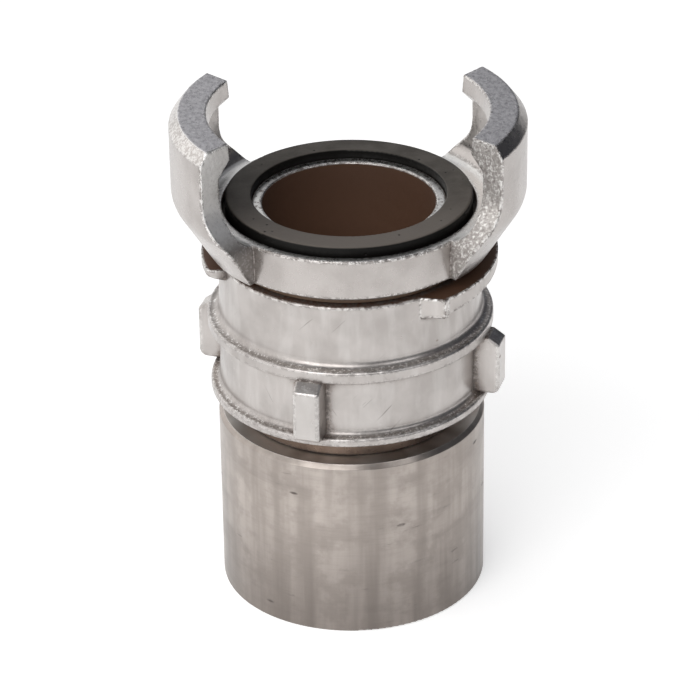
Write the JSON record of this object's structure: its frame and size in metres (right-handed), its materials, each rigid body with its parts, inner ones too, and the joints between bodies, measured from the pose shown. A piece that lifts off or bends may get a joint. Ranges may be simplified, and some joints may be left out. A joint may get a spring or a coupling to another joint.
{
  "type": "symmetrical claw coupling half",
  "caption": "Stainless symmetrical claw coupling half with a locking ring that turns on its journal, a rubber face seal and a smooth crimp ferrule for hose.",
  "frame": {"origin": "centre of the ferrule's open end, on the plane that the coupling stands on", "axes": "+Z along the flow axis towards the coupling face, the two claws on +X and -X"},
  "size_m": [0.102, 0.089, 0.1506],
  "materials": {
    "cast_steel": "investment-cast stainless steel, tumbled, with worn bright edges",
    "ring_steel": "investment-cast stainless steel, tumbled, with worn bright edges",
    "seal_rubber": "matt moulded nitrile rubber",
    "bearing_plastic": "bronze-filled PTFE",
    "spring_steel": "spring stainless steel",
    "turned_steel": "satin turned stainless steel"
  },
  "bodies": {
    "body": {"claw_body": "cast_steel", "face_seal": "seal_rubber", "slide_washer": "bearing_plastic", "retaining_clip": "spring_steel", "crimp_ferrule": "turned_steel"},
    "ring": {"locking_ring": "ring_steel"}
  },
  "joints": [
    {"name": "ring_turn", "type": "hinge", "parent": "body", "child": "ring", "pos_m": [0, 0, 0.085], "axis": [0, 0, 1], "continuous": true}
  ]
}
